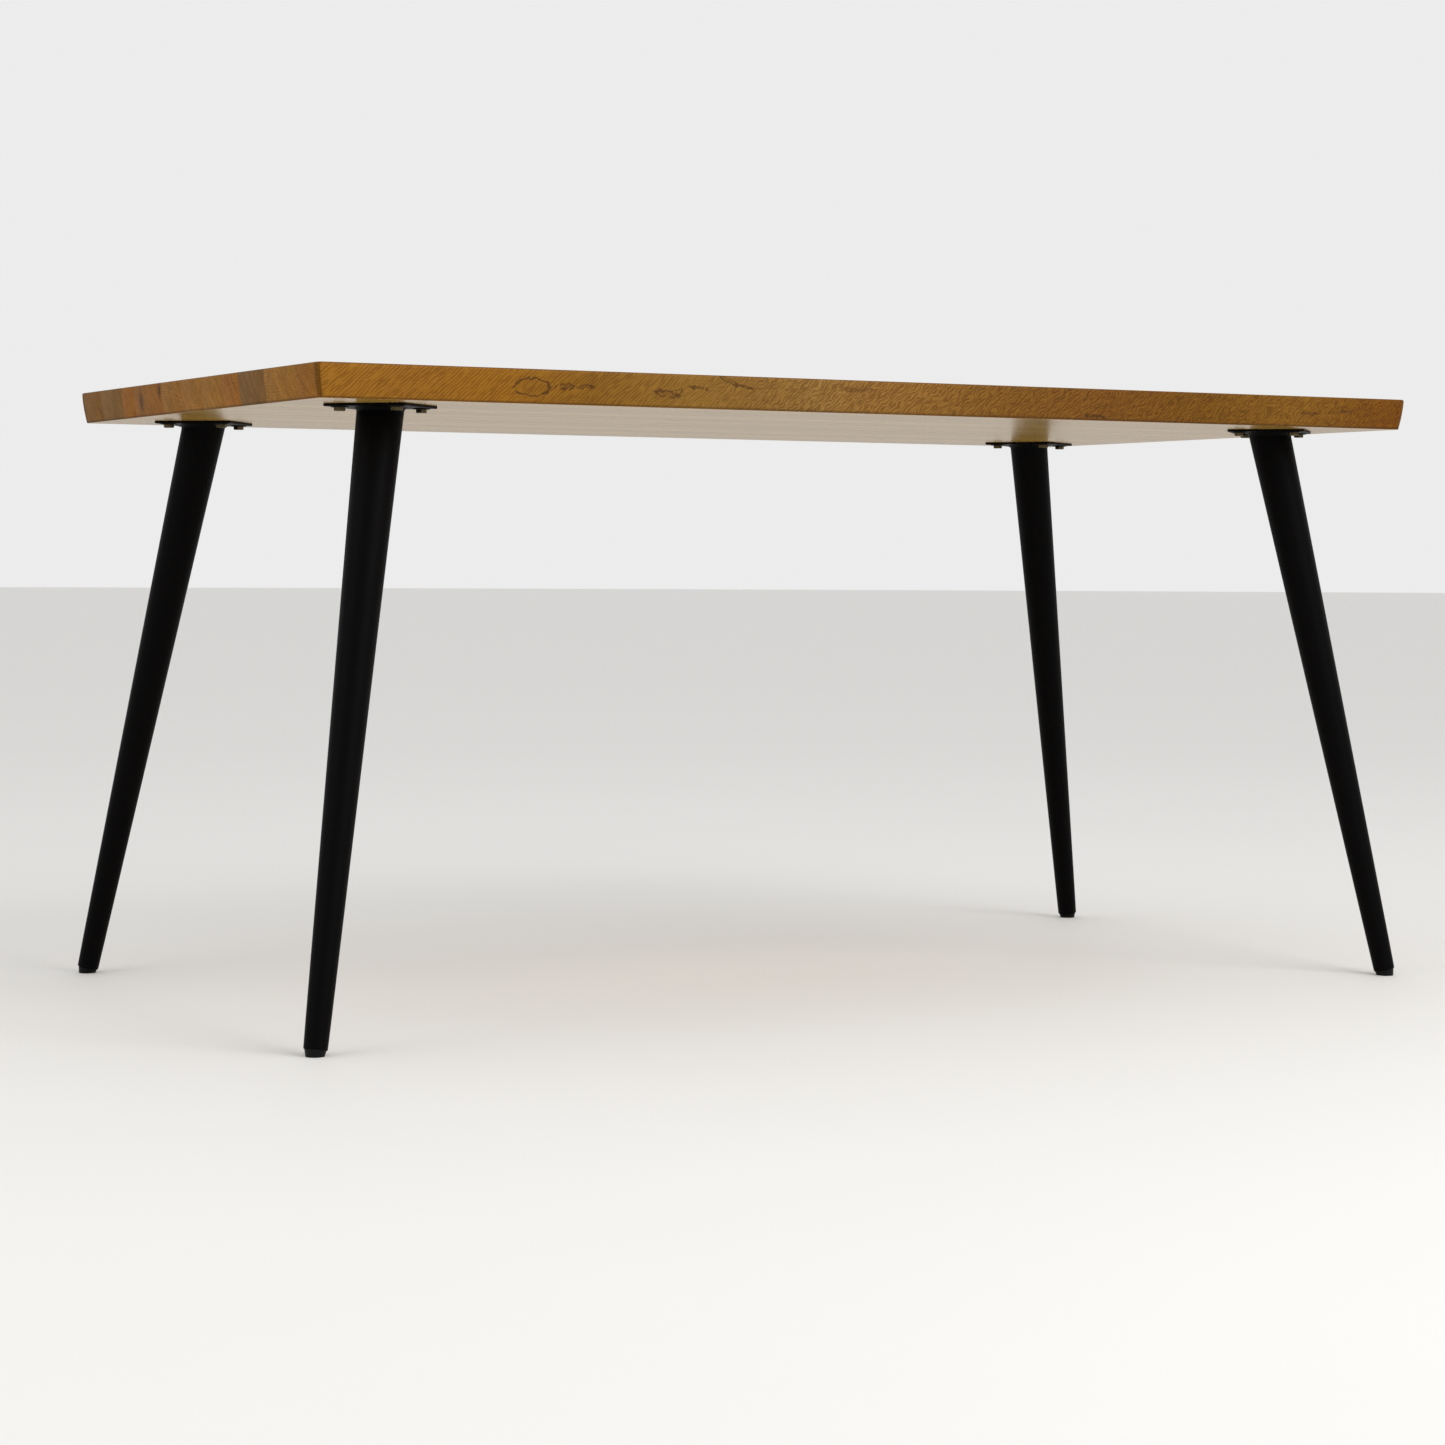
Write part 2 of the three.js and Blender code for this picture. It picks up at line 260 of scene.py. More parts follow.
def drill(piece, centres, radius, low, high):
    """Cuts round holes along Z through a piece between two heights, and applies the cut."""
    ring = lathe([(radius, low), (radius, high)], 32)
    points = np.concatenate([ring.reshape(-1, 3) + np.array([x, y, 0]) for x, y in centres])
    step = ring.shape[0] * ring.shape[1]
    skin = closed_skin(ring)
    faces = [[k * step + v for v in face] for k in range(len(centres)) for face in skin]
    cutter = mesh_object("drill", points, faces, piece.data.materials[0])
    cut = piece.modifiers.new("holes", "BOOLEAN")
    cut.operation = "DIFFERENCE"
    cut.solver = "EXACT"
    cut.object = cutter
    apply_modifiers(piece)
    bpy.data.objects.remove(cutter)


def apply_modifiers(piece):
    """Replaces a piece's mesh with what its modifiers make of it."""
    graph = bpy.context.evaluated_depsgraph_get()
    mesh = bpy.data.meshes.new_from_object(piece.evaluated_get(graph))
    mesh.set_sharp_from_angle(angle=math.radians(SHARP_ANGLE))
    piece.modifiers.clear()
    piece.data = mesh


def finish_piece(piece, node):
    """Hangs a finished piece on the frame in place of one CAD node."""
    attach(piece, "root")
    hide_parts(node)


# ---------------------------------------------------------------- shader helpers

def feed(tree, socket, value):
    """Sets an input, or links it when the value is another node's socket."""
    if isinstance(value, bpy.types.NodeSocket):
        tree.links.new(value, socket)
    else:
        socket.default_value = value


def add(tree, kind, links=None, **settings):
    """Adds a shader node. links maps an input's name or number to a value or a socket."""
    made = tree.nodes.new("ShaderNode" + kind)
    for key, value in settings.items():
        setattr(made, key, value)
    for key, value in (links or {}).items():
        feed(tree, made.inputs[key], value)
    return made


def calc(tree, operation, a, b=0.0, c=0.0):
    """A Math node's result."""
    return add(tree, "Math", {0: a, 1: b, 2: c}, operation=operation).outputs[0]


def plus(tree, a, b):
    """The sum of two values."""
    return calc(tree, "ADD", a, b)


def minus(tree, a, b):
    """The first value less the second."""
    return calc(tree, "SUBTRACT", a, b)


def times(tree, a, b):
    """The product of two values."""
    return calc(tree, "MULTIPLY", a, b)


def swing(tree, value, gain):
    """A value that is 0.5 on average made to swing about zero: less a half, times a gain."""
    return times(tree, minus(tree, value, 0.5), gain)


def vector_calc(tree, operation, a, b=(0, 0, 0)):
    """A Vector Math node's vector."""
    return add(tree, "VectorMath", {0: a, 1: b}, operation=operation).outputs[0]


def vector_length(tree, vector):
    """How long a vector is."""
    return add(tree, "VectorMath", {0: vector}, operation="LENGTH").outputs["Value"]


def coordinate(tree, vector, axis):
    """One coordinate of a vector: 0 for X, 1 for Y and 2 for Z."""
    return add(tree, "SeparateXYZ", {0: vector}).outputs[axis]


def object_place(tree):
    """The place on the object, which is the place in the table's frame."""
    return add(tree, "TexCoord").outputs["Object"]


def smooth(tree, value, low, high):
    """0 below low, 1 above high, and smooth between. Turned over if low is above high."""
    made = add(tree, "MapRange", {0: value, 1: min(low, high), 2: max(low, high)},
               interpolation_type="SMOOTHSTEP")
    rising = low < high
    made.inputs[3].default_value = 0.0 if rising else 1.0
    made.inputs[4].default_value = 1.0 if rising else 0.0
    return made.outputs[0]


def fade(tree, factor, a, b):
    """A value that goes from a to b as the factor goes from 0 to 1."""
    return add(tree, "MapRange", {0: factor, 3: a, 4: b}).outputs[0]


def mix(tree, factor, a, b, blend="MIX"):
    """A Mix node's colour."""
    made = tree.nodes.new("ShaderNodeMix")
    made.data_type = "RGBA"
    made.blend_type = blend
    for index, value in ((0, factor), (6, a), (7, b)):
        feed(tree, made.inputs[index], value)
    return made.outputs[2]


def rgba(rgb, gain=1.0):
    """A colour as four numbers."""
    return (rgb[0] * gain, rgb[1] * gain, rgb[2] * gain, 1.0)


def tinted(tree, base, tint):
    """A colour multiplied by a tint."""
    return mix(tree, 1.0, base, rgba(tint), "MULTIPLY")


def noise(tree, vector, scale, detail=2.0, roughness=0.5, distortion=0.0):
    """A 3D noise's value, about 0.5 on average."""
    made = add(tree, "TexNoise", {"Vector": vector, "Scale": scale, "Detail": detail,
                                  "Roughness": roughness, "Distortion": distortion})
    return made.outputs[0]


def stretched(tree, vector, place=(0, 0, 0), turn=(0, 0, 0), size=(1, 1, 1)):
    """The vector measured in a turned box of a given size, so one unit is the box's side."""
    made = add(tree, "Mapping", {"Vector": vector, "Location": place, "Rotation": turn,
                                 "Scale": size}, vector_type="TEXTURE")
    return made.outputs[0]


def drawn_noise(tree, vector, size, detail=2.0, roughness=0.5):
    """A noise drawn out so that its blotches are about as large as a box."""
    return noise(tree, stretched(tree, vector, size=size), 1.0, detail, roughness)


def wobble(tree, vector, scale, detail, reach):
    """A shift that varies in space: a noise's colour less a half, times a reach on each axis."""
    made = add(tree, "TexNoise", {"Vector": vector, "Scale": scale, "Detail": detail})
    centred = vector_calc(tree, "SUBTRACT", made.outputs["Color"], (0.5, 0.5, 0.5))
    return vector_calc(tree, "MULTIPLY", centred, reach)


class Group:
    """A shader node group being made, with its input and output nodes."""

    def __init__(self, name, inputs, outputs):
        self.tree = bpy.data.node_groups.new(name, "ShaderNodeTree")
        for label, kind, default in inputs:
            socket = self.tree.interface.new_socket(name=label, in_out="INPUT",
                                                    socket_type="NodeSocket" + kind)
            if default is not None:
                socket.default_value = default
        for label, kind in outputs:
            self.tree.interface.new_socket(name=label, in_out="OUTPUT",
                                           socket_type="NodeSocket" + kind)
        self.given = self.tree.nodes.new("NodeGroupInput").outputs
        self.result = self.tree.nodes.new("NodeGroupOutput").inputs

    def give(self, label, value):
        """Connects a result to one of the group's outputs."""
        self.tree.links.new(value, self.result[label])


def use_group(tree, group, **values):
    """Places a node group in a material. Underscores in a name stand for spaces."""
    made = tree.nodes.new("ShaderNodeGroup")
    made.node_tree = group
    for key, value in values.items():
        feed(tree, made.inputs[key.replace("_", " ")], value)
    return made.outputs


def new_material(name, **sockets):
    """A material with a Principled shader, and its tree and shader."""
    material = bpy.data.materials.new(name)
    material.use_nodes = True
    tree = material.node_tree
    shader = tree.nodes["Principled BSDF"]
    for key, value in sockets.items():
        shader.inputs[key.replace("_", " ")].default_value = value
    return material, tree, shader


def bump(tree, shader, height, strength, distance):
    """Feeds a height into the shader's normal through a Bump node."""
    made = add(tree, "Bump", {"Strength": strength, "Distance": distance, "Height": height})
    tree.links.new(made.outputs[0], shader.inputs["Normal"])


# ---------------------------------------------------------------- wood

def grain_group():
    """
    Solid wood. Growth rings are shells about a pith line that runs along X and wanders, fine
    fibres are noise drawn out along X, slow clouds vary the tone along the board, and the end
    grain has a slanting flame, which is noise drawn out across the board.
    """
    group = Group("solid_wood", [
        ("Vector", "Vector", None), ("Pith", "Vector", (0, 0, 0)), ("Ring Width", "Float", 0.004),
        ("Wander", "Float", 0.004), ("Ring Strength", "Float", 0.5), ("Streak", "Float", 0.5),
        ("Cloud", "Float", 0.6), ("End", "Float", 0.0),
    ], [("Tone", "Float"), ("Fibre", "Float")])
    tree, given = group.tree, group.given
    vector = given["Vector"]
    bend = drawn_noise(tree, vector, (0.45, 0.06, 0.06))
    wander = swing(tree, bend, times(tree, given["Wander"], 8.0))
    from_pith = vector_calc(tree, "SUBTRACT", vector, given["Pith"])
    radius = vector_length(tree, vector_calc(tree, "MULTIPLY", from_pith, (0, 1, 1)))
    rings = calc(tree, "DIVIDE", plus(tree, radius, wander), given["Ring Width"])
    uneven = drawn_noise(tree, vector, (2.0, 0.012, 0.012), 1.0)
    phase = calc(tree, "FRACT", plus(tree, rings, times(tree, uneven, 2.2)))
    late = times(tree, smooth(tree, phase, 0.1, 0.86), smooth(tree, phase, 1.0, 0.9))
    fibre = drawn_noise(tree, vector, (0.05, 0.0011, 0.0011), 3.0, 0.6)
    streak = drawn_noise(tree, vector, (0.5, 0.006, 0.006), 3.0, 0.55)
    cloud = drawn_noise(tree, vector, (0.11, 0.03, 0.03))
    flame = noise(tree, stretched(tree, vector, turn=(0.95, 0, 0), size=(0.05, 0.026, 0.0042)),
                  1.0, 3.0, 0.6, 0.6)
    tone = times(tree, minus(tree, late, 0.35), given["Ring Strength"])
    lines = plus(tree, swing(tree, fibre, 0.5), minus(tree, streak, 0.5))
    tone = plus(tree, tone, times(tree, lines, given["Streak"]))
    tone = plus(tree, tone, swing(tree, cloud, given["Cloud"]))
    flame = plus(tree, 0.2, swing(tree, flame, 1.7))
    tone = plus(tree, tone, times(tree, given["End"], flame))
    group.give("Tone", add(tree, "Clamp", {0: plus(tree, tone, 0.5)}).outputs[0])
    group.give("Fibre", fibre)
    return group.tree


def fleck_group():
    """
    Ray fleck on a quarter-sawn face: fine ripples that climb the face at a slant. The ripple is
    the sine of the distance across the slant over the pitch. A slow noise bends the ripples, a
    noise drawn out along them breaks them into strokes, and another thins them in places.
    """
    group = Group("ray_fleck", [
        ("Vector", "Vector", None), ("Slant", "Float", 0.74), ("Pitch", "Float", 0.0034),
        ("Stroke", "Vector", (0.010, 0.02, 0.0018)), ("Cover", "Float", 0.5),
        ("Sway", "Float", 1.0), ("Curl", "Float", 38.0),
    ], [("Mask", "Float")])
    tree, given = group.tree, group.given
    vector = given["Vector"]
    shift = wobble(tree, vector, given["Curl"], 1.0, (0.026, 0, 0.019))
    shift = add(tree, "VectorMath", {0: shift, "Scale": given["Sway"]}, operation="SCALE")
    bent = vector_calc(tree, "ADD", vector, shift.outputs[0])
    turn = add(tree, "CombineXYZ", {1: times(tree, given["Slant"], -1.0)}).outputs[0]
    across = coordinate(tree, stretched(tree, bent, turn=turn), 2)
    phase = times(tree, calc(tree, "DIVIDE", across, given["Pitch"]), 2 * math.pi)
    ripple = times(tree, calc(tree, "SINE", phase), 0.14)
    drawn = stretched(tree, bent, turn=turn, size=given["Stroke"])
    strokes = plus(tree, noise(tree, drawn, 1.0, 1.0, 0.45), ripple)
    strokes = smooth(tree, strokes, 0.4, 0.62)
    patch = drawn_noise(tree, vector, (0.06, 0.05, 0.03), 1.5)
    cover = smooth(tree, plus(tree, patch, minus(tree, given["Cover"], 0.5)), 0.3, 0.62)
    group.give("Mask", times(tree, strokes, cover))
    return group.tree


def zone_group():
    """
    A spalted zone line: dark where the distance to an ellipse in the XZ plane is under the
    line's width, with the ellipse made uneven and the line broken by noise.
    """
    group = Group("zone_line", [
        ("Vector", "Vector", None), ("Centre", "Vector", (0, 0, 0)), ("Size", "Vector", (1, 1, 1)),
        ("Tilt", "Vector", (0, 0, 0)), ("Line", "Float", 0.0008), ("Fill", "Float", 0.0),
    ], [("Mask", "Float")])
    tree, given = group.tree, group.given
    vector = given["Vector"]
    uneven = vector_calc(tree, "ADD", vector, wobble(tree, vector, 130.0, 2.0, (0.008, 0, 0.009)))
    local = stretched(tree, uneven, given["Centre"], given["Tilt"], given["Size"])
    reach = vector_length(tree, vector_calc(tree, "MULTIPLY", local, (1, 0, 1)))
    away = times(tree, calc(tree, "ABSOLUTE", minus(tree, reach, 1.0)),
                 coordinate(tree, given["Size"], 2))
    line = smooth(tree, calc(tree, "DIVIDE", away, given["Line"]), 1.0, 0.3)
    breaks = smooth(tree, noise(tree, vector, 190.0, 1.0), 0.3, 0.48)
    inside = times(tree, smooth(tree, reach, 1.0, 0.4), given["Fill"])
    group.give("Mask", calc(tree, "MAXIMUM", times(tree, line, breaks), inside))
    return group.tree


FRONT_STAVE = "01"

# The staves from front to back: slot, mid tone of the wood, where the pith lay from the stave's
# middle, across and up, which turns the rings on the end grain, and the width of a ring.
STAVE_LOOKS = {
    "01": ("wood_golden", (0.262, 0.112, 0.0125), (0.01, -0.16), 0.0038),
    "02": ("wood_tan", (0.280, 0.134, 0.022), (0.03, 0.09), 0.0034),
    "03": ("wood_grey_brown", (0.180, 0.096, 0.029), (-0.05, -0.06), 0.0026),
    "04": ("wood_orange", (0.272, 0.112, 0.016), (-0.02, 0.11), 0.0036),
    "05": ("wood_tan", (0.282, 0.136, 0.023), (0.06, -0.05), 0.0042),
    "06": ("wood_golden", (0.276, 0.130, 0.023), (-0.04, 0.07), 0.0030),
    "07": ("wood_tan", (0.262, 0.122, 0.022), (0.02, -0.10), 0.0040),
    "08": ("wood_golden", (0.252, 0.108, 0.019), (-0.06, -0.04), 0.0035),
    "09": ("wood_orange", (0.272, 0.108, 0.012), (0.05, 0.05), 0.0032),
    "10": ("wood_grey_brown", (0.190, 0.100, 0.026), (0.0, 0.12), 0.0028),
    "11": ("wood_grey_brown", (0.196, 0.093, 0.018), (0.04, -0.08), 0.0036),
}

# The front edge changes tone along its length: places from the middle of the top, and tones.
FRONT_TONES = [
    (-0.734, (0.2960, 0.1280, 0.0110)), (-0.640, (0.2720, 0.1150, 0.0095)),
    (-0.542, (0.2800, 0.1200, 0.0074)), (-0.417, (0.2190, 0.1010, 0.0096)),
    (-0.287, (0.2600, 0.1360, 0.0225)),
    (-0.205, (0.2400, 0.1230, 0.0240)), (-0.135, (0.2640, 0.1440, 0.0330)),
    (-0.060, (0.2560, 0.1270, 0.0260)), (0.010, (0.2460, 0.1200, 0.0220)),
    (0.129, (0.1982, 0.0901, 0.0112)), (0.278, (0.1784, 0.0736, 0.0081)),
    (0.433, (0.1690, 0.0730, 0.0045)), (0.593, (0.2080, 0.0960, 0.0090)),
    (0.726, (0.1680, 0.0600, 0.0020)),
]

# Zone lines and small dark marks on the front edge: centre along X from the middle of the top,
# height above the underside, half length, half height, tilt in degrees, line width and how far
# the mark is filled.
FRONT_MARKS = [
    (-0.504, 0.0185, 0.0215, 0.0095, 0, 0.0014, 0.14),
    (-0.462, 0.0203, 0.0105, 0.0028, 0, 0.0013, 0.5),
    (-0.4375, 0.0207, 0.0095, 0.0020, 0, 0.0013, 0.45),
    (-0.333, 0.0160, 0.0140, 0.0030, -8, 0.0013, 0.2),
    (-0.318, 0.0180, 0.0060, 0.0034, 30, 0.0009, 0.1),
    (-0.290, 0.0240, 0.0100, 0.0012, -8, 0.0008, 0.5),
    (-0.252, 0.0330, 0.0120, 0.0022, -24, 0.0007, 0.3),
    (-0.229, 0.0265, 0.0070, 0.0012, -14, 0.0009, 0.4),
    (-0.075, 0.0277, 0.0190, 0.0034, 0, 0.0003, 0.55),
    (0.267, 0.0056, 0.0120, 0.0013, 0, 0.0010, 0.9),
    (0.272, 0.0166, 0.0072, 0.0012, 0, 0.0008, 0.6),
    (0.253, 0.0275, 0.0052, 0.0008, 60, 0.0008, 0.4),
    (0.226, 0.0360, 0.0075, 0.0010, 48, 0.0008, 0.3),
    (0.605, 0.0170, 0.0095, 0.0016, 0, 0.0006, 0.6),
    (0.650, 0.0195, 0.0120, 0.0011, 4, 0.0004, 0.45),
    (0.672, 0.0220, 0.0150, 0.0010, 10, 0.0003, 0.35),
]

# Dark pin knots by stave: the centre from the middle of the underside, and half sizes.
KNOTS = {
    "08": [((-0.762, 0.1748, 0.0175), (0.05, 0.0062, 0.0105)),
           ((-0.762, 0.1060, 0.0290), (0.05, 0.0040, 0.0080))],
    "07": [((0.427, 0.067, 0), (0.0050, 0.009, 0.004)), ((-0.331, 0.074, 0), (0.0022, 0.008, 0.004)),
           ((-0.323, 0.070, 0), (0.0020, 0.007, 0.004))],
}


def face_masks(tree):
    """Masks for surfaces that face an end, a side, up and down, from the normal."""
    normal = add(tree, "NewGeometry").outputs["Normal"]
    parts = add(tree, "SeparateXYZ", {0: normal}).outputs
    end, side = (smooth(tree, calc(tree, "ABSOLUTE", parts[k]), 0.72, 0.95) for k in range(2))
    return end, side, smooth(tree, parts[2], 0.72, 0.95), smooth(tree, parts[2], -0.72, -0.95)


def stave_colour(tree, tone, middle):
    """The wood's colour: lighter and darker than its mid tone as the grain's tone rises."""
    return mix(tree, tone, tinted(tree, middle, (1.3, 1.3, 1.36)),
               tinted(tree, middle, (0.68, 0.64, 0.58)))


def front_tone(tree, place):
    """The front edge's mid tone, looked up along X."""
    along = minus(tree, coordinate(tree, place, 0), TOP_LOW[0])
    made = add(tree, "ValToRGB", {0: calc(tree, "DIVIDE", along, 2 * TOP_HALF[0])})
    stops = made.color_ramp.elements
    for index, (x, tone) in enumerate(FRONT_TONES):
        spot = (x + TOP_HALF[0]) / (2 * TOP_HALF[0])
        stop = stops[index] if index < 2 else stops.new(spot)
        stop.position = spot
        stop.color = rgba(tone)
    return made.outputs[0]


def painted_edge_shade(tree, place, base, masks):
    """Painted shade: darkens the wood where its surface turns and along the foot of the sides and
    ends. It also darkens the ends beside the upright corners.
    """
    end, side, up, down = masks
    upright = calc(tree, "MAXIMUM", end, side)
    bend = minus(tree, 1.0, calc(tree, "MAXIMUM", upright, plus(tree, up, down)))
    foot = times(tree, upright, smooth(tree, coordinate(tree, place, 2),
                                       TOP_LOW[2] + 0.0035, TOP_LOW[2] + 0.0014))
    across = calc(tree, "ABSOLUTE", minus(tree, coordinate(tree, place, 1), TOP_MIDDLE[1]))
    corner = times(tree, end, smooth(tree, across, TOP_HALF[1] - 0.016, TOP_HALF[1] - 0.007))
    # Painted shade: the wood's colour is mixed towards a dark brown along these edges.
    dark = calc(tree, "MAXIMUM", times(tree, bend, 0.62),
                times(tree, calc(tree, "MAXIMUM", foot, corner), 0.5))
    return mix(tree, dark, base, (0.03, 0.012, 0.004, 1.0))


def fleck_mask(tree, group, place, plank):
    """Ray fleck: long straight strokes at the left that turn into short curly ones."""
    straight = use_group(tree, group, Vector=plank, Cover=0.72, Sway=0.3,
                         Stroke=(0.012, 0.02, 0.0018))["Mask"]
    curly = use_group(tree, group, Vector=plank, Cover=0.85, Sway=0.5, Curl=85.0,
                      Pitch=0.0037, Stroke=(0.0070, 0.02, 0.0018))["Mask"]
    turning = smooth(tree, coordinate(tree, place, 0), TOP_MIDDLE[0] - 0.4, TOP_MIDDLE[0] - 0.15)
    depth = calc(tree, "MULTIPLY_ADD", turning, 0.15, 0.6)
    return times(tree, fade(tree, turning, straight, curly), depth)


def underside_colour_with_painted_reflection(tree, tone, shade):
    """The underside's colour: the wood's tone painted paler, as a painted reflection of the pale
    surroundings, with soft stripes that follow the grain.
    """
    stripe = smooth(tree, tone, 0.2, 0.8)
    return mix(tree, stripe, rgba((0.46, 0.276, 0.050), shade), rgba((0.35, 0.203, 0.034), shade))


def wood_gloss(tree, shader, fibre, masks, shade, settings):
    """A satin sheen on the sides, a little more above, and a smooth, even one underneath."""
    side, up, down = masks[1:]
    sheen = calc(tree, "MULTIPLY_ADD", fibre, 0.1, settings.sheen - 0.05)
    level = plus(tree, times(tree, up, 0.3), times(tree, down, 0.42 * shade))
    level = plus(tree, plus(tree, times(tree, side, 0.07), level), 0.03)
    tree.links.new(fade(tree, down, sheen, settings.below), shader.inputs["Roughness"])
    tree.links.new(level, shader.inputs["Specular IOR Level"])
    bump(tree, shader, fibre, calc(tree, "MULTIPLY_ADD", down, -0.115, 0.12), 0.0002)


def wood_material(node, groups, settings):
    """The oiled wood of one stave, with its own tone, rings and place along the plank."""
    number = node.split("_")[1]
    front = number == FRONT_STAVE
    second = node.endswith("_right")
    slot, middle_tone, pith, ring = STAVE_LOOKS[number]
    material, tree, shader = new_material(f"wood_{node}", Roughness=settings.sheen)
    place = object_place(tree)
    plank = vector_calc(tree, "ADD", place, (int(number) * 3.7 + (1.9 if second else 0.0), 0, 0))
    masks = face_masks(tree)
    end, side, _, down = masks
    middle = box_middle(node)
    figure = minus(tree, 1.0, times(tree, side, 0.75 if front else 0.3))
    grain = use_group(tree, groups["grain"], Vector=plank, Ring_Width=ring, Wander=0.0045,
                      Pith=(0, middle[1] + pith[0], middle[2] + pith[1]),
                      Ring_Strength=times(tree, figure, 0.42), Streak=times(tree, figure, 0.8),
                      Cloud=times(tree, figure, 0.6), End=end)
    plain = rgba(middle_tone, 0.95 if second else 1.0)
    if front:
        plain = mix(tree, side, plain, front_tone(tree, place))
    base = stave_colour(tree, grain["Tone"], plain)
    base = mix(tree, end, base, tinted(tree, base, (1.0, 0.95, 0.8)))
    fleck = times(tree, fleck_mask(tree, groups["fleck"], place, plank), side)
    base = mix(tree, fleck, base, tinted(tree, base, (0.5, 0.42, 0.3)))
    shade = 1.0 + 0.13 * math.sin(2.6 * int(number) + (0.7 if second else 0.0))
    # Down-facing faces take the underside's colour, whose paleness is painted reflection.
    base = mix(tree, times(tree, down, 0.88), base, underside_colour_with_painted_reflection(tree, grain["Tone"], shade))
    if front:
        base = front_marks(tree, place, base, groups["zone"], side)
    base = pin_knots(tree, place, base, KNOTS.get(number, []))
    # Painted shade along the wood's turned edges and the foot of its sides and ends.
    base = painted_edge_shade(tree, place, base, masks)
    tree.links.new(base, shader.inputs["Base Color"])
    wood_gloss(tree, shader, grain["Fibre"], masks, shade, settings)
    return material, slot


def front_marks(tree, place, base, group, side):
    """The spalted lines and small marks of the front edge."""
    total = 0.0
    for x, up, half_length, half_height, tilt, line, fill in FRONT_MARKS:
        mask = use_group(tree, group, Vector=place,
                         Centre=(TOP_MIDDLE[0] + x, 0, TOP_LOW[2] + up),
                         Size=(half_length, 1, half_height),
                         Tilt=(0, -math.radians(tilt), 0), Line=line, Fill=fill)["Mask"]
        total = calc(tree, "MAXIMUM", total, mask)
    total = times(tree, times(tree, total, side), 0.84)
    return mix(tree, total, base, (0.065, 0.024, 0.005, 1.0))


def pin_knots(tree, place, base, knots):
    """Dark pin knots with a halo: ellipsoids in the wood with a rough edge."""
    for centre, half in knots:
        middle = np.array(centre) + np.array([*TOP_MIDDLE[:2], TOP_LOW[2]])
        rough = swing(tree, noise(tree, place, 420.0), 1.2)
        reach = vector_length(tree, stretched(tree, place, place=middle, size=half))
        reach = plus(tree, reach, rough)
        halo = times(tree, smooth(tree, reach, 2.2, 0.9), 0.45)
        core = times(tree, smooth(tree, reach, 0.95, 0.5), 0.9)
        base = mix(tree, calc(tree, "MAXIMUM", halo, core), base, (0.06, 0.028, 0.012, 1.0))
    return base


# ---------------------------------------------------------------- metal and plastic

def dust_group():
    """
    Fine dust and a soft mottle: two noises, a slow one for patches and a fine one for specks.
    It is made once and shared.
    """
    if "dust" in bpy.data.node_groups:
        return bpy.data.node_groups["dust"]
    group = Group("dust", [("Vector", "Vector", None), ("Amount", "Float", 0.1)],
                  [("Mask", "Float"), ("Mottle", "Float")])
    tree, given = group.tree, group.given
    mottle = noise(tree, given["Vector"], 38.0, 3.0, 0.6)
    specks = smooth(tree, noise(tree, given["Vector"], 900.0), 0.6, 0.74)
    patchy = times(tree, specks, smooth(tree, mottle, 0.4, 0.7))
    group.give("Mask", times(tree, patchy, given["Amount"]))
    group.give("Mottle", mottle)
    return group.tree


def dusted(made, shades, dusty, amount, gloss, grit):
    """
    Finishes a dusted material. Its colour goes between two shades with the mottle, and to a
    dusty one under the dust's mask. Its roughness is the first value of gloss plus the mottle
    times the second. A noise of grit's scale and detail roughens it by grit's strength.
    """
    material, tree, shader = made
    place = object_place(tree)
    wear = use_group(tree, dust_group(), Vector=place, Amount=amount)
    base = mix(tree, wear["Mottle"], *shades)
    tree.links.new(mix(tree, wear["Mask"], base, dusty), shader.inputs["Base Color"])
    rough = plus(tree, gloss[0], times(tree, wear["Mottle"], gloss[1]))
    tree.links.new(rough, shader.inputs["Roughness"])
    scale, detail, strength = grit
    bump(tree, shader, noise(tree, place, scale, detail), strength, 0.0001)
    return material


def coat_material(settings):
    """Black powder coat: a fine orange peel, a soft mottle in the gloss and a little dust."""
    made = new_material("black_powder_coat", Roughness=0.5, Specular_IOR_Level=0.04)
    shades = (rgba(settings.coat), rgba(settings.coat))
    return dusted(made, shades, (0.1, 0.095, 0.09, 1.0), 0.03, (0.42, 0.12), (1300.0, 2.0, 0.12))


def nylon_material(settings):
    """Moulded black nylon with fine scuffs."""
    made = new_material("black_nylon", Roughness=0.42, Specular_IOR_Level=0.12)
    shades = (rgba(settings.nylon), rgba(settings.nylon))
    return dusted(made, shades, (0.08, 0.075, 0.07, 1.0), 0.1, (0.36, 0.16), (2600.0, 2.0, 0.15))


def steel_material(name, base, roughness):
    """Plated steel: a mottled tint and tiny turning marks in the surface."""
    made = new_material(name, Metallic=1.0, Roughness=roughness)
    shades = (rgba(base, 0.75), rgba(base, 1.3))
    return dusted(made, shades, rgba(base, 0.35), 0.3, (roughness - 0.08, 0.18), (1800.0, 3.0, 0.2))


# ---------------------------------------------------------------- surfaces of the top

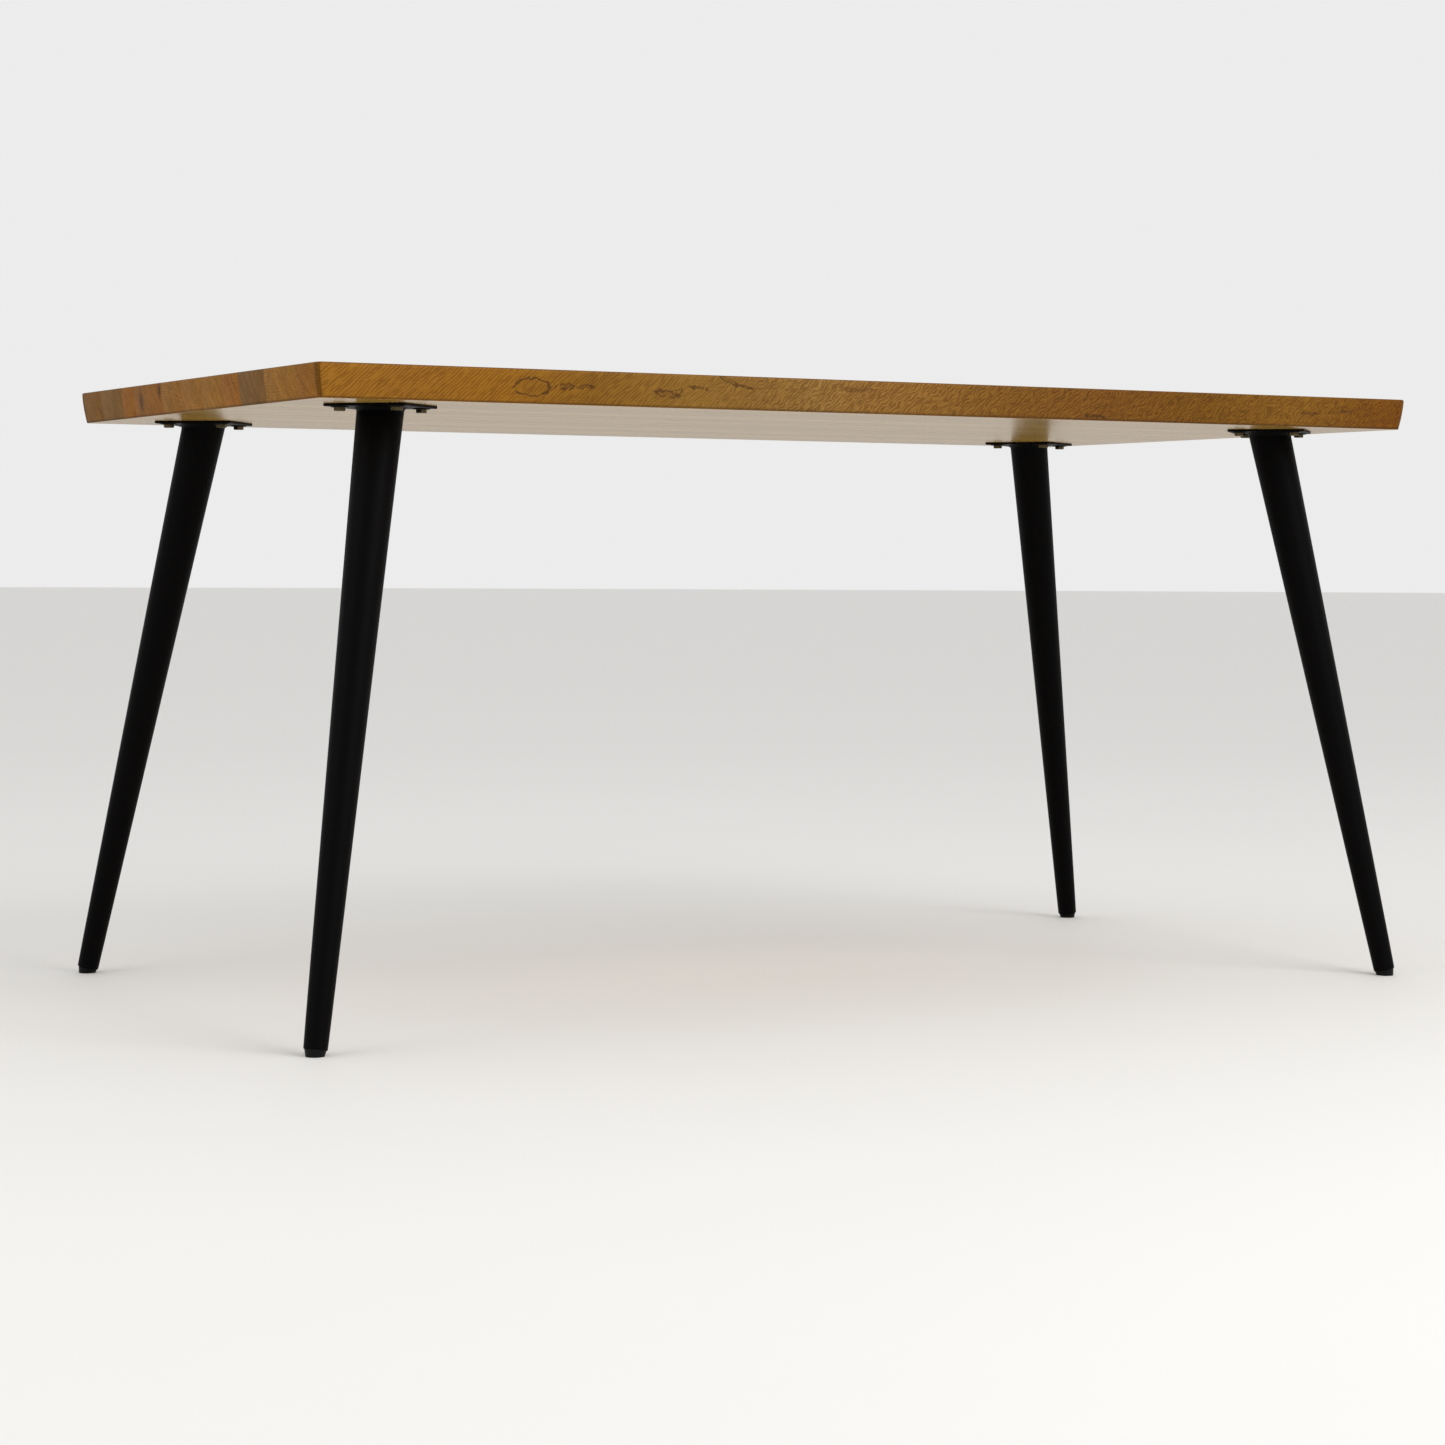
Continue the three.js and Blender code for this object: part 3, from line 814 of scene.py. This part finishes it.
def edge_levels(settings):
    """
    The section of the top's side, from the underside up, as (height, inset at an outer side,
    inset at a joint). A small quarter round starts it, then the side leans out along a power
    curve to full size, and a quarter round eases the top. A joint's two edges are chamfered.
    """
    thick = TOP_HIGH[2] - TOP_LOW[2]
    low, high = settings.lower_ease, thick - settings.ease
    groove, gap = settings.joint_chamfer, settings.joint_gap / 2

    def lean(height):
        portion = np.clip((height - low) / (high - low), 0, 1)
        return settings.undercut * (1 - portion) ** 1.5

    lower_turn, upper_turn = quarter_turn(5), quarter_turn(8)[1:]
    middle = np.linspace(low, high, 16)[1:]
    heights = np.concatenate([low * (1 - np.cos(lower_turn)), middle,
                              high + settings.ease * np.sin(upper_turn)])
    outer = np.concatenate([lean(low) + low * (1 - np.sin(lower_turn)), lean(middle),
                            settings.ease * (1 - np.cos(upper_turn))])
    extra = np.array([groove, thick - groove])
    outer = np.append(outer, np.interp(extra, heights, outer))
    heights = np.append(heights, extra)
    order = np.argsort(heights, kind="stable")
    heights, outer = heights[order], outer[order]
    near_face = np.minimum(heights, thick - heights)
    return heights, outer, gap + np.clip(groove - near_face, 0, None)


def stave_surface(low, high, outside, settings):
    """
    One stave: its plan is a rectangle with round corners, and every level of the side's section
    is that plan drawn in by the level's inset, so the point is the plan's point less the inset
    towards the middle. Flat faces close it below and above, each inside a fine flat rim.
    """
    left, right, front, back = outside
    heights, outer, joint = edge_levels(settings)
    square_corner, rim = 0.00005, 0.001
    plan = []
    for sx, sy, start in PLAN_CORNERS:
        round_corner = (left if sx < 0 else right) and (front if sy < 0 else back)
        radius = settings.corner if round_corner else square_corner
        centre = ((high[0] if sx > 0 else low[0]) - sx * radius,
                  (high[1] if sy > 0 else low[1]) - sy * radius)
        plan.append(arc(centre, radius, start, start + 90, 8))
    plan = np.concatenate(plan)
    on_right = plan[:, 0] > (low[0] + high[0]) / 2
    on_back = plan[:, 1] > (low[1] + high[1]) / 2

    def inset(is_outer):
        return (outer if is_outer else joint)[:, None]

    points = np.empty((len(heights), len(plan), 3))
    points[..., 0] = plan[:, 0] - np.where(on_right, inset(right), -inset(left))
    points[..., 1] = plan[:, 1] - np.where(on_back, inset(back), -inset(front))
    points[..., 2] = TOP_LOW[2] + heights[:, None]
    pull = np.stack([np.where(on_right, -rim, rim), np.where(on_back, -rim, rim),
                     np.zeros(len(plan))], -1)
    points = np.concatenate([points[:1] + pull, points, points[-1:] + pull])
    return points, closed_skin(points)


def outer_sides(low, high):
    """Which sides of a stave are the top's own: left, right, front and back."""
    near = 0.001
    return (low[0] < TOP_LOW[0] + near, high[0] > TOP_HIGH[0] - near,
            low[1] < TOP_LOW[1] + near, high[1] > TOP_HIGH[1] - near)


# ---------------------------------------------------------------- surfaces of a leg

class LegPlace:
    """
    One leg's frame, read from the CAD: its origin is the middle of the plate's lower face, X
    points the way the leg leans, and the axis runs from there to the middle of the glide's
    level face on the floor.
    """

    def __init__(self, corner):
        plate = f"mounting_plate_{corner}"
        self.origin = np.array([*box_middle(plate)[:2], node_box(plate)[0][2]])
        self.tube_low = node_box(f"leg_{corner}")[0][2]
        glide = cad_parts[f"foot_glide_{corner}"].data
        spots = np.array([vertex.co for vertex in glide.vertices])
        self.floor = spots[:, 2].min()
        level = 1e-5
        sole = spots[spots[:, 2] < self.floor + level]
        reach = (sole.min(0) + sole.max(0)) / 2 - self.origin
        splay = math.hypot(reach[0], reach[1])
        self.turn = math.atan2(reach[1], reach[0])
        self.lean = math.atan2(splay, -reach[2])
        self.length = math.hypot(splay, reach[2])

    def place(self, points):
        """Turns and moves points from the leg's frame to the table's."""
        return turned(points, self.turn) + self.origin

    def cone(self, along, radius, angle):
        """
        Points on a cone about the leg's axis: the axis point at a distance along it plus the
        radius times the cross direction at an angle.
        """
        c, s = math.cos(self.lean), math.sin(self.lean)
        points = np.empty(np.broadcast(along, radius, angle).shape + (3,))
        points[..., 0] = along * s + radius * np.cos(angle) * c
        points[..., 1] = radius * np.sin(angle)
        points[..., 2] = -along * c + radius * np.cos(angle) * s
        return points

    def along_at_level(self, level, radius, taper, angle):
        """How far along the axis a straight line of the cone meets a level plane."""
        c, s = math.cos(self.lean), math.sin(self.lean)
        rise = np.cos(angle) * s
        return (radius * rise - level) / (c + taper * rise)

    def tube_end(self, foot_radius):
        """How far along the axis the tube is cut square, from the tube's lowest point."""
        rise = foot_radius * math.sin(self.lean)
        return (self.origin[2] - self.tube_low - rise) / math.cos(self.lean)


def tube_surface(leg, settings):
    """
    The tube: straight lines of a cone from the plate's plane to a square-cut foot, spread near
    the plate by the weld's cove, which is a square law of the depth with a fine ripple round
    it. The bore follows the same lines one wall inside.
    """
    weld_beads, bead_depth, lip = 26, 0.12, 0.0005
    angle = np.linspace(0, 2 * np.pi, settings.segments, endpoint=False)[None, :]
    end = leg.tube_end(settings.foot_radius)
    taper = (settings.head_radius - settings.foot_radius) / leg.length

    def wall(inwards, portions):
        radius = settings.head_radius - inwards
        top = leg.along_at_level(0.0, radius, taper, angle)
        along = top + (end - top) * portions
        return leg.cone(along, radius - taper * along, angle)

    close_to_weld = np.linspace(0, 0.02, 14)
    down_the_tube = np.linspace(0.02, 1, 22)[1:]
    outside = wall(0.0, np.concatenate([close_to_weld, down_the_tube])[:, None])
    cove = np.clip(1 + outside[..., 2] / settings.weld, 0, None)
    ripple = 1 + bead_depth * np.sin(weld_beads * angle) * np.clip(cove * 2, 0, 1)
    spread = settings.weld_throw * cove ** 2 * ripple
    outside[..., 0] += spread * np.cos(angle)
    outside[..., 1] += spread * np.sin(angle)
    outside[-1] = leg.cone(end - lip, settings.foot_radius + taper * lip, angle)[0]
    cut = leg.cone(end, settings.foot_radius - lip, angle)
    inside = wall(settings.wall, np.linspace(1, 0, 4)[:, None])
    points = np.concatenate([outside, cut, inside])
    return points, ring_quads(len(points), settings.segments, True)[:, ::-1].tolist()


def plate_surface(half, thickness, settings):
    """
    The plate: a square with round corners, carried through a section whose two edges are
    quarter rounds, each level being the outline drawn in by that level's inset.
    """
    edge = settings.plate_edge
    turn = quarter_turn(5)
    heights = np.concatenate([edge * (1 - np.cos(turn)), thickness - edge * (1 - np.sin(turn))])
    insets = np.concatenate([edge * (1 - np.sin(turn)), edge * (1 - np.cos(turn))])
    inner = half - settings.plate_corner
    outward = np.stack([arc((0, 0), 1.0, start, start + 90, 9) for _, _, start in PLAN_CORNERS])
    middles = np.array([(sx * inner, sy * inner) for sx, sy, _ in PLAN_CORNERS])[:, None]
    outline = (middles + settings.plate_corner * outward).reshape(-1, 2)
    points = np.empty((len(heights), len(outline), 3))
    points[..., :2] = outline - insets[:, None, None] * outward.reshape(-1, 2)
    points[..., 2] = heights[:, None]
    return points, closed_skin(points)


def plate_half(low, high, turn, settings):
    """Half the plate's side, from its box: the box of a turned square with round corners."""
    spread = abs(math.cos(turn)) + abs(math.sin(turn))
    width = (high[0] - low[0]) / 2 - settings.plate_corner
    return width / spread + settings.plate_corner


def glide_surface(leg, settings, foot_radius):
    """
    The glide: rings about the leg's axis for the plug and the shoulder, then straight lines of
    a cone down to the floor's plane, a small round over the sole's edge, and a level sole.
    """
    around, bevel_length, bevel, ease = 64, 0.0015, 0.001, 0.0006
    angle = np.linspace(0, 2 * np.pi, around, endpoint=False)[None, :]
    start = leg.tube_end(foot_radius)
    plug, head = settings.plug, settings.glide_head
    slope = (head - settings.glide_base) / (leg.length - start)
    section = [
        (start - settings.plug_length, plug - bevel),
        (start - settings.plug_length + bevel_length, plug), (start, plug),
        (start, head - ease), (start + ease / 3, head - ease / 3), (start + ease, head),
    ]
    rings = [leg.cone(along, radius, angle) for along, radius in section]
    level = leg.floor - leg.origin[2]
    apex = head + slope * start
    ends = leg.along_at_level(level, apex, slope, angle)
    for portion in (0.35, 0.7, 0.92):
        along = start + ease + (ends - start - ease) * portion
        rings.append(leg.cone(along, apex - slope * along, angle))
    sole = leg.cone(ends, apex - slope * ends, angle)
    middle = sole.mean(axis=1, keepdims=True)
    for inwards in (0.985, 0.95, 0.9):
        ring = middle + (sole - middle) * inwards
        ring[..., 2] = level
        rings.append(ring)
    points = np.concatenate(rings)
    return points, [face[::-1] for face in closed_skin(points)]


# ---------------------------------------------------------------- surfaces of the hardware

def screw_surface(low, high, settings):
    """
    A hex lag screw. The head's radius at each angle is the lesser of a hexagon's and of a
    chamfer cone's. Above it the shank's radius rises and falls along a helix, and the last
    stretch draws in to a point.
    """
    around, shank_rings, edge = 96, 110, 0.0003
    angle = np.linspace(0, 2 * np.pi, around, endpoint=False)[None, :]
    flat = settings.across_flats / 2
    hexagon = flat / np.cos((angle % (np.pi / 3)) - np.pi / 6)
    top = low + settings.head_height
    heights = [low + 0.00025, low]
    rings = [np.full_like(angle, flat * 0.55), np.full_like(angle, flat * 0.8)]
    for step in np.linspace(0, 1, 6):
        heights.append(low + settings.head_chamfer * step)
        rings.append(np.minimum(hexagon, flat * 0.985 + 0.0011 * step ** 0.8))
    heights += [top - 0.0002, top]
    rings += [hexagon, hexagon - edge]
    shank = np.linspace(top, high - edge, shank_rings)
    root = settings.shank - settings.thread
    plain = np.clip((top + settings.plain_shank - shank) / 0.0015, 0, 1)[:, None]
    helix = shank[:, None] / settings.pitch - angle / (2 * np.pi)
    wave = ((helix % 1) * 2 - 1) ** 2
    body = root + settings.thread * np.maximum(wave, plain)
    point = np.clip((high - shank) / settings.tip, 0.08, 1)[:, None]
    radii = np.concatenate([*rings, body * point])
    points = np.empty(radii.shape + (3,))
    points[..., 0] = radii * np.cos(angle)
    points[..., 1] = radii * np.sin(angle)
    points[..., 2] = np.concatenate([heights, shank])[:, None]
    return points, closed_skin(points)


def washer_surface(low, high, outer, inner):
    """A flat ring with a small round on each outer edge, as a closed section turned about Z."""
    around, edge = 64, 0.00035
    section = np.concatenate([
        [(inner, low)], arc((outer - edge, low + edge), edge, -90, 0, 4),
        arc((outer - edge, high - edge), edge, 0, 90, 4), [(inner, high)],
    ])
    return lathe(section, around), ring_quads(len(section), around, True).tolist()


# ---------------------------------------------------------------- operators

class BLOCK_OT_top(bpy.types.Operator):
    """Builds the staves of the top"""
    bl_idname = "block_table.top"
    bl_label = "Top staves"

    def execute(self, context):
        groups = {"grain": grain_group(), "fleck": fleck_group(), "zone": zone_group()}
        screws = [box_middle(name)[:2] for name in nodes_named("lag_screw_")]
        for node in nodes_named("stave_"):
            build_stave(node, groups, screws, context.scene.block_top)
        return {"FINISHED"}


def build_stave(node, groups, screws, settings):
    """One stave, grown by half the CAD's gap at each joint, and drilled where screws enter it."""
    half_gap, below, reach = 0.0001, 0.01, 0.005
    low, high = node_box(node)
    outside = outer_sides(low, high)
    left, right, front, back = (0 if is_outer else half_gap for is_outer in outside)
    low = low - np.array([left, front, 0])
    high = high + np.array([right, back, 0])
    points, faces = stave_surface(low, high, outside, settings)
    material, slot = wood_material(node, groups, settings)
    piece = mesh_object(f"{node}_board", points, faces, material)
    held = [(x, y) for x, y in screws
            if low[0] < x < high[0] and low[1] - reach < y < high[1] + reach]
    if held:
        drill(piece, held, settings.pilot, TOP_LOW[2] - below, TOP_LOW[2] + settings.pilot_depth)
    finish_piece(piece, node)


class BLOCK_OT_legs(bpy.types.Operator):
    """Builds the tapered tubes with their welds, and the mounting plates"""
    bl_idname = "block_table.legs"
    bl_label = "Legs and plates"

    def execute(self, context):
        settings = context.scene.block_legs
        coat = coat_material(settings)
        for corner in CORNERS:
            leg = LegPlace(corner)
            points, faces = tube_surface(leg, settings)
            tube = mesh_object(f"tube_{corner}", leg.place(points), faces, coat)
            finish_piece(tube, f"leg_{corner}")
            build_plate(corner, leg, coat, settings)
        return {"FINISHED"}


def build_plate(corner, leg, coat, settings):
    """One mounting plate with its four holes, turned as its screws stand."""
    node = f"mounting_plate_{corner}"
    beyond = 0.01
    low, high = node_box(node)
    centres = np.array([box_middle(name)[:2] for name in nodes_named(f"lag_screw_{corner}_")])
    side = centres[2:].sum(0) - centres[:2].sum(0)
    turn = math.atan2(side[1], side[0])
    half = plate_half(low, high, turn, settings)
    points, faces = plate_surface(half, high[2] - low[2], settings)
    plate = mesh_object(f"plate_{corner}", turned(points, turn) + leg.origin, faces, coat)
    drill(plate, centres, settings.plate_hole, low[2] - beyond, high[2] + beyond)
    finish_piece(plate, node)


class BLOCK_OT_glides(bpy.types.Operator):
    """Builds the foot glides"""
    bl_idname = "block_table.glides"
    bl_label = "Foot glides"

    def execute(self, context):
        settings = context.scene.block_hardware
        foot_radius = context.scene.block_legs.foot_radius
        nylon = nylon_material(settings)
        for corner in CORNERS:
            leg = LegPlace(corner)
            points, faces = glide_surface(leg, settings, foot_radius)
            piece = mesh_object(f"glide_{corner}", leg.place(points), faces, nylon)
            finish_piece(piece, f"foot_glide_{corner}")
        return {"FINISHED"}


class BLOCK_OT_screws(bpy.types.Operator):
    """Builds the hex lag screws and their washers"""
    bl_idname = "block_table.screws"
    bl_label = "Screws and washers"

    def execute(self, context):
        settings = context.scene.block_hardware
        zinc = steel_material("zinc_plate", settings.zinc, 0.34)
        dark = steel_material("dark_steel", settings.dark, 0.4)
        for index, node in enumerate(nodes_named("lag_screw_")):
            build_screw(node, index, zinc, settings)
            build_washer(node.replace("lag_screw", "washer"), dark, settings)
        return {"FINISHED"}


def build_screw(node, index, zinc, settings):
    """One screw. Each one's head is turned by its own angle, as a wrench leaves them."""
    turn_each, head_sharp = 0.83, 35
    low, high = node_box(node)
    points, faces = screw_surface(low[2], high[2], settings)
    points = turned(points, index * turn_each) + np.array([*box_middle(node)[:2], 0])
    screw = mesh_object(f"{node}_hex", points, faces, zinc, head_sharp)
    finish_piece(screw, node)


def build_washer(node, dark, settings):
    """One washer, with its hole just clear of the shank."""
    low, high = node_box(node)
    points, faces = washer_surface(low[2], high[2], (high[0] - low[0]) / 2,
                                   settings.shank + settings.clearance)
    middle = np.array([*box_middle(node)[:2], 0])
    ring = mesh_object(f"{node}_ring", points + middle, faces, dark)
    finish_piece(ring, node)


class BLOCK_OT_stage(bpy.types.Operator):
    """Builds the plain floor, the soft light and the camera"""
    bl_idname = "block_table.stage"
    bl_label = "Stage"

    def execute(self, context):
        settings = context.scene.block_stage
        build_floor(settings)
        build_light(context.scene, settings)
        build_camera(context.scene, settings)
        return {"FINISHED"}


def build_floor(settings):
    """A wide level disc just under the feet: a middle and one ring round it."""
    middle, reach, gap = 0.5, 60.0, 0.00005
    level = CAD_BOX[0].z - gap
    points = lathe([(middle, level), (reach, level)], 64)
    material, tree, shader = new_material("plain_floor", Roughness=0.7)
    tone = times(tree, noise(tree, object_place(tree), 3.0, 3.0), 0.1)
    tree.links.new(mix(tree, tone, rgba(settings.floor), rgba(settings.floor, 0.85)),
                   shader.inputs["Base Color"])
    mesh_object("floor", points, closed_skin(points)[:-1], material)


def build_light(scene, settings):
    """An even pale surround, a large soft lamp in front and high, and a weaker one on the left."""
    world = bpy.data.worlds.new("surround")
    world.use_nodes = True
    background = world.node_tree.nodes["Background"]
    background.inputs[0].default_value = rgba(settings.sky)
    background.inputs[1].default_value = settings.surround
    scene.world = world
    target = np.array([0.0, 0.0, 0.6])
    lamps = (
        ("key", (1.2, -3.6, 3.0), 3.0, settings.key_power),
        ("fill", (-3.8, -0.6, 2.2), 2.4, settings.key_power * 0.22),
    )
    for name, place, size, power in lamps:
        data = bpy.data.lights.new(name, "AREA")
        data.size = size
        data.energy = power
        lamp = bpy.data.objects.new(name, data)
        aim = target - np.array(place)
        heading = math.atan2(aim[1], aim[0]) - math.pi / 2
        tilt = math.atan2(aim[2], math.hypot(aim[0], aim[1]))
        lamp.location = place
        lamp.rotation_euler = (math.pi / 2 + tilt, 0, heading)
        scene.collection.objects.link(lamp)


def build_camera(scene, settings):
    """The camera: low in front of the left half, looking just under the top."""
    data = bpy.data.cameras.new("camera")
    data.lens = settings.lens
    data.sensor_width = 36
    data.clip_start = 0.05
    data.clip_end = 200
    camera = bpy.data.objects.new("camera", data)
    camera.location = np.array(settings.camera_place) + np.array([*TOP_MIDDLE[:2], 0])
    camera.rotation_euler = settings.camera_turn
    scene.collection.objects.link(camera)
    scene.camera = camera
    scene.view_settings.view_transform = "Standard"


class BLOCK_PT_panel(bpy.types.Panel):
    """Lists the table's pieces and their settings"""
    bl_idname = "BLOCK_PT_panel"
    bl_label = "Butcher Block Table"
    bl_space_type = "VIEW_3D"
    bl_region_type = "UI"
    bl_category = "Block Table"

    def draw(self, context):
        scene = context.scene
        for operator in OPERATORS:
            self.layout.operator(operator.bl_idname)
        for name in SETTINGS:
            box = self.layout.box()
            group = getattr(scene, name)
            for key in group.bl_rna.properties.keys():
                if key not in {"rna_type", "name"}:
                    box.prop(group, key)


OPERATORS = (BLOCK_OT_top, BLOCK_OT_legs, BLOCK_OT_glides, BLOCK_OT_screws, BLOCK_OT_stage)
SETTINGS = {
    "block_top": TopSettings,
    "block_legs": LegSettings,
    "block_hardware": HardwareSettings,
    "block_stage": StageSettings,
}


def register():
    """Registers the settings, operators and panel."""
    for name, group in SETTINGS.items():
        bpy.utils.register_class(group)
        setattr(bpy.types.Scene, name, PointerProperty(type=group))
    for item in (*OPERATORS, BLOCK_PT_panel):
        bpy.utils.register_class(item)


def unregister():
    """Takes the panel, operators and settings away again."""
    for item in (BLOCK_PT_panel, *reversed(OPERATORS)):
        bpy.utils.unregister_class(item)
    for name, group in SETTINGS.items():
        delattr(bpy.types.Scene, name)
        bpy.utils.unregister_class(group)


def main():
    """Builds the whole table."""
    register()
    bpy.ops.block_table.stage()
    bpy.ops.block_table.top()
    bpy.ops.block_table.legs()
    bpy.ops.block_table.glides()
    bpy.ops.block_table.screws()


if __name__ == "__main__":
    main()
